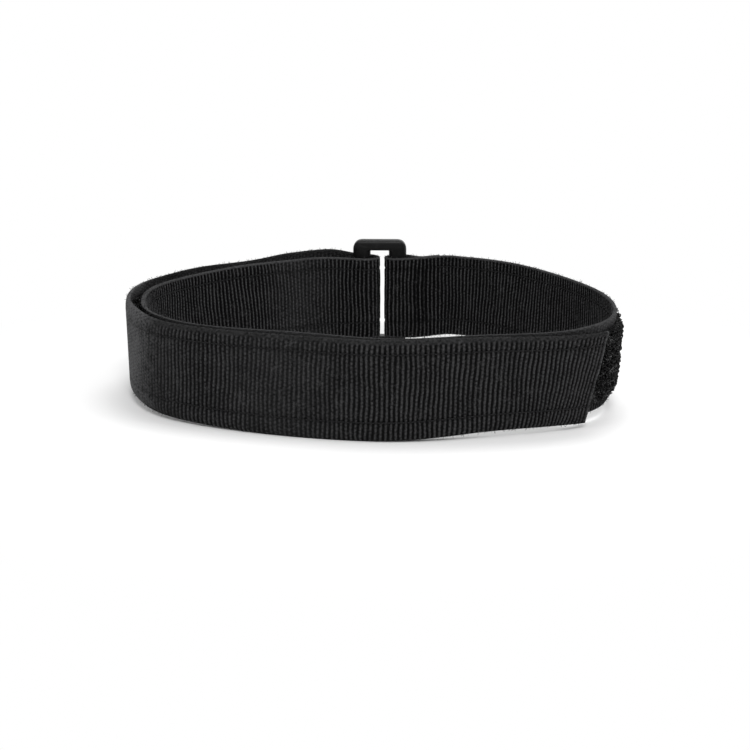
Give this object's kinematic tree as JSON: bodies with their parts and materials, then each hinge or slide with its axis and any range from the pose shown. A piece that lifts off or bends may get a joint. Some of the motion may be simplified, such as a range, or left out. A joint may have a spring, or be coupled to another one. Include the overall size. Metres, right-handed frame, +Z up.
{
  "type": "tourniquet strap",
  "caption": "Hook-and-loop webbing strap closed round a limb opening, threaded through a slide ring, turned back and lapped over itself.",
  "frame": {"origin": "middle of the bounding box in X and Y, at the level of the surface that the closed strap stands on", "axes": "+Z up along the limb opening's axis, X across the loop's width, -Y towards the lapped front, +Y towards the slide ring"},
  "size_m": [0.135, 0.1114, 0.0346],
  "materials": {
    "webbing": "ribbed black nylon webbing",
    "loop_tape": "black loop pile",
    "hook_tape": "black moulded hooks",
    "thread": "black sewing thread",
    "ring": "satin black moulded plastic"
  },
  "bodies": {
    "strap_loop": {"webbing_anchor": "webbing", "webbing_loop": "webbing", "webbing_back": "webbing", "loop_tape_inner": "loop_tape", "loop_tape_back": "loop_tape", "edge_seams_inner": "thread", "edge_seams_back": "thread", "anchor_seams": "thread"},
    "ring": {"slide_ring": "ring"},
    "turnback": {"webbing_turn": "webbing", "loop_tape_turn": "loop_tape", "edge_seams_turn": "thread"},
    "outer_side": {"webbing_side": "webbing", "loop_tape_side": "loop_tape", "edge_seams_side": "thread"},
    "outer_front": {"webbing_front": "webbing", "hook_tape_front": "hook_tape", "edge_seams_front": "thread"},
    "outer_tip": {"webbing_tip": "webbing", "hook_tape_tip": "hook_tape", "edge_seams_tip": "thread"}
  },
  "joints": [
    {"name": "ring_swivel", "type": "hinge", "parent": "strap_loop", "child": "ring", "pos_m": [0.00637, 0.05104, 0.0173], "axis": [0, 0, 1], "range_deg": [-6, 6]},
    {"name": "turnback_shift", "type": "slide", "parent": "strap_loop", "child": "turnback", "axis": [0, 1, 0], "range_m": [-0.00104, 0.00104]},
    {"name": "side_peel", "type": "hinge", "parent": "strap_loop", "child": "outer_side", "pos_m": [-0.04109, 0.03638, 0.0125], "axis": [0, 0, -1], "range_deg": [0, 40]},
    {"name": "front_peel", "type": "hinge", "parent": "outer_side", "child": "outer_front", "pos_m": [-0.03707, -0.04384, 0.0125], "axis": [0, 0, -1], "range_deg": [0, 60]},
    {"name": "tip_peel", "type": "hinge", "parent": "outer_front", "child": "outer_tip", "pos_m": [0.01314, -0.05551, 0.0125], "axis": [0, 0, -1], "range_deg": [0, 80]}
  ],
  "couplings": [
    {"joint": "turnback_shift", "follows": "ring_swivel", "m_per_rad": -0.0098}
  ]
}
